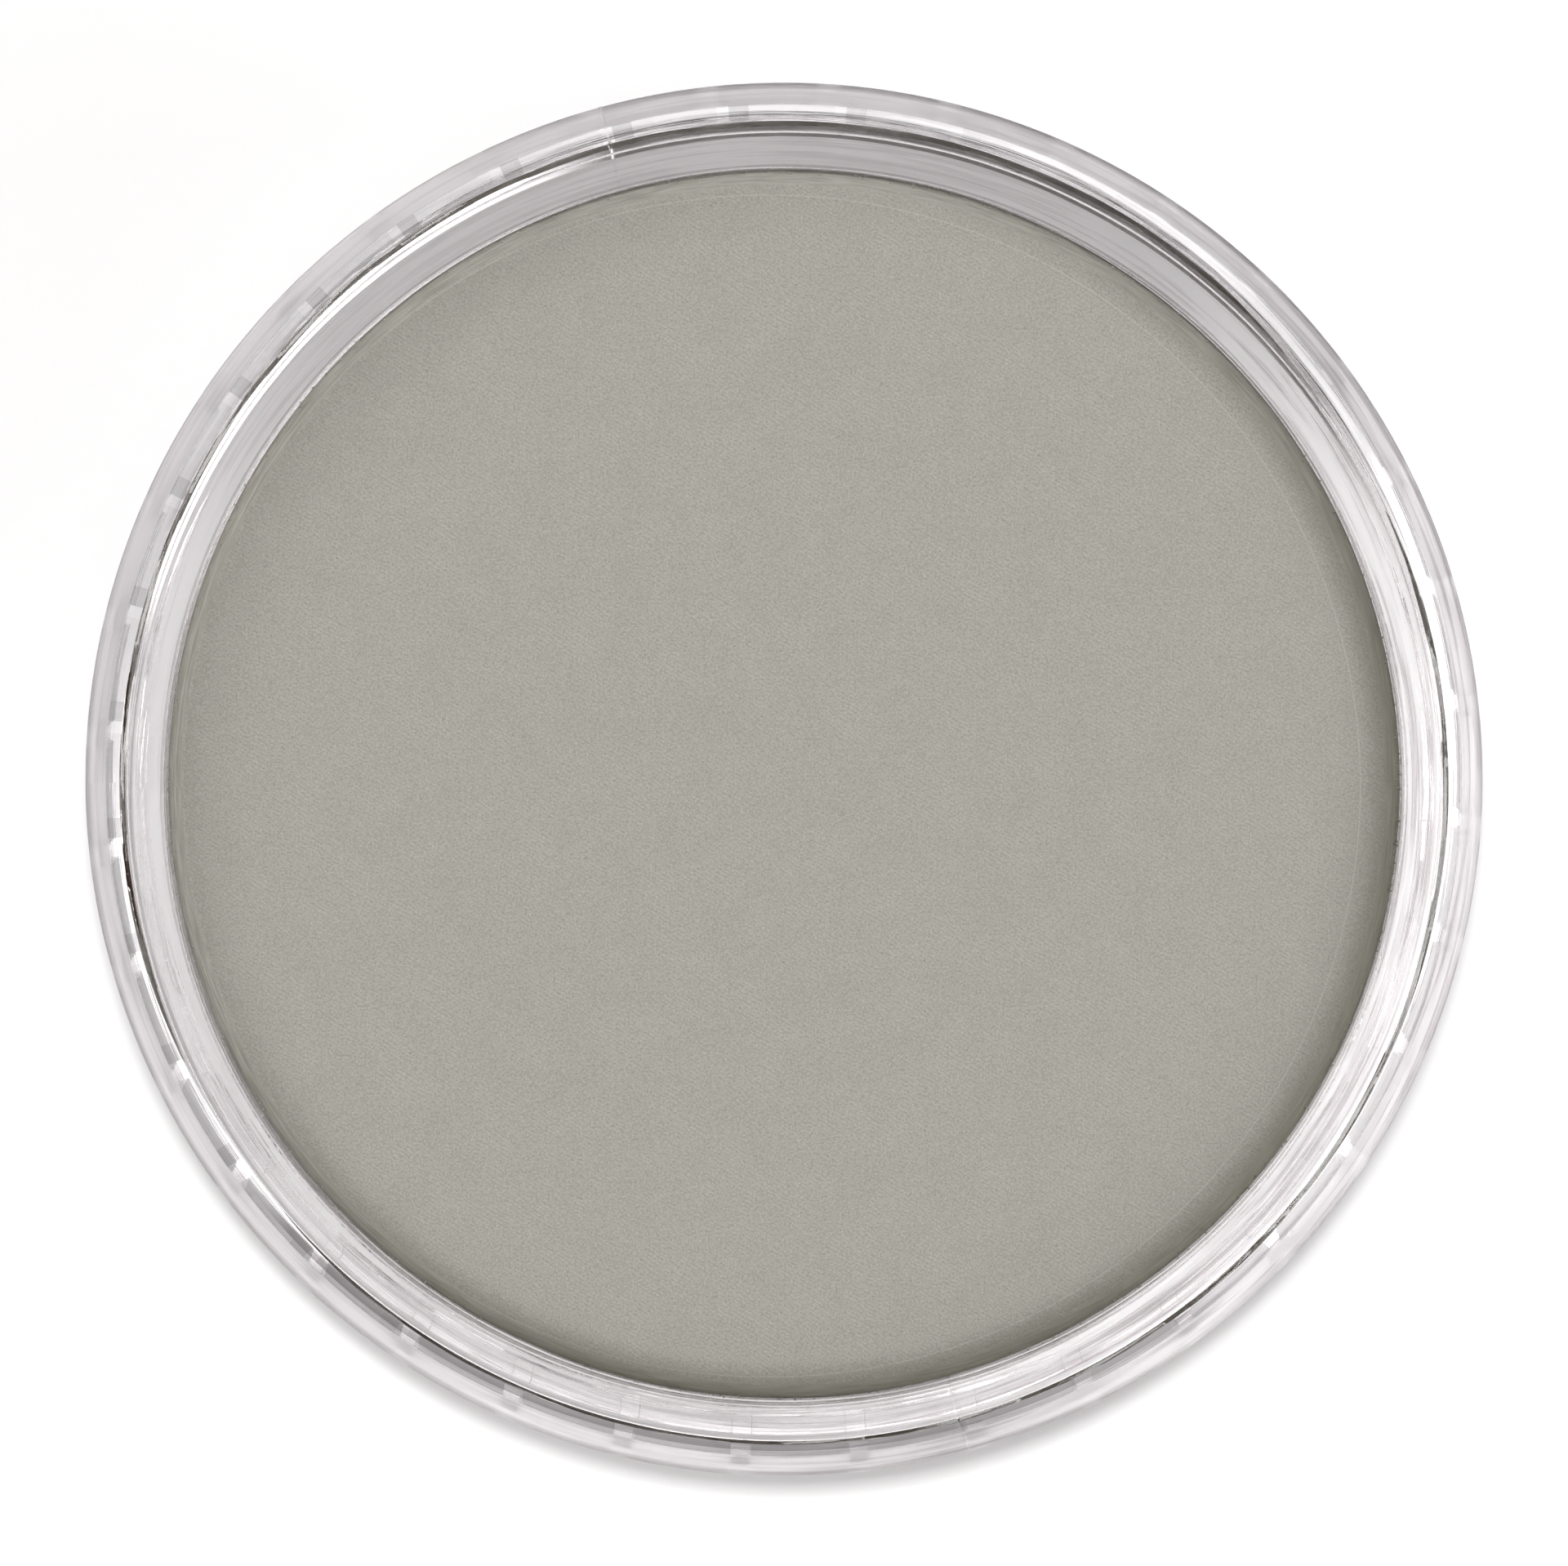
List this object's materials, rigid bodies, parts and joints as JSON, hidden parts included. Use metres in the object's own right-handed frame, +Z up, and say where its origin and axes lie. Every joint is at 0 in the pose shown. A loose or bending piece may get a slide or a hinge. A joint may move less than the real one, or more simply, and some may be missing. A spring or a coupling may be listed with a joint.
{
  "type": "open stacking pan of pressed pigment",
  "caption": "Open round clear plastic pan holding a pressed cake of warm grey pigment, with grip ribs, a screw neck around the cake and a threaded socket underneath for stacking.",
  "frame": {"origin": "middle of the face that the pan rests on, on the pan's axis", "axes": "+Z up along the pan's axis, out of its open side; +Y towards the camera's far side of the pan, near one mould parting line"},
  "size_m": [0.062, 0.062, 0.0152],
  "materials": {
    "clear_polystyrene": "clear injection-moulded crystal polystyrene, polished",
    "pressed_pigment": "dry matte pressed powder with a faint fabric press texture",
    "label_paper": "uncoated blank paper"
  },
  "bodies": {
    "root": {"pan": "clear_polystyrene", "pigment_cake": "pressed_pigment", "base_label": "label_paper"}
  },
  "joints": []
}
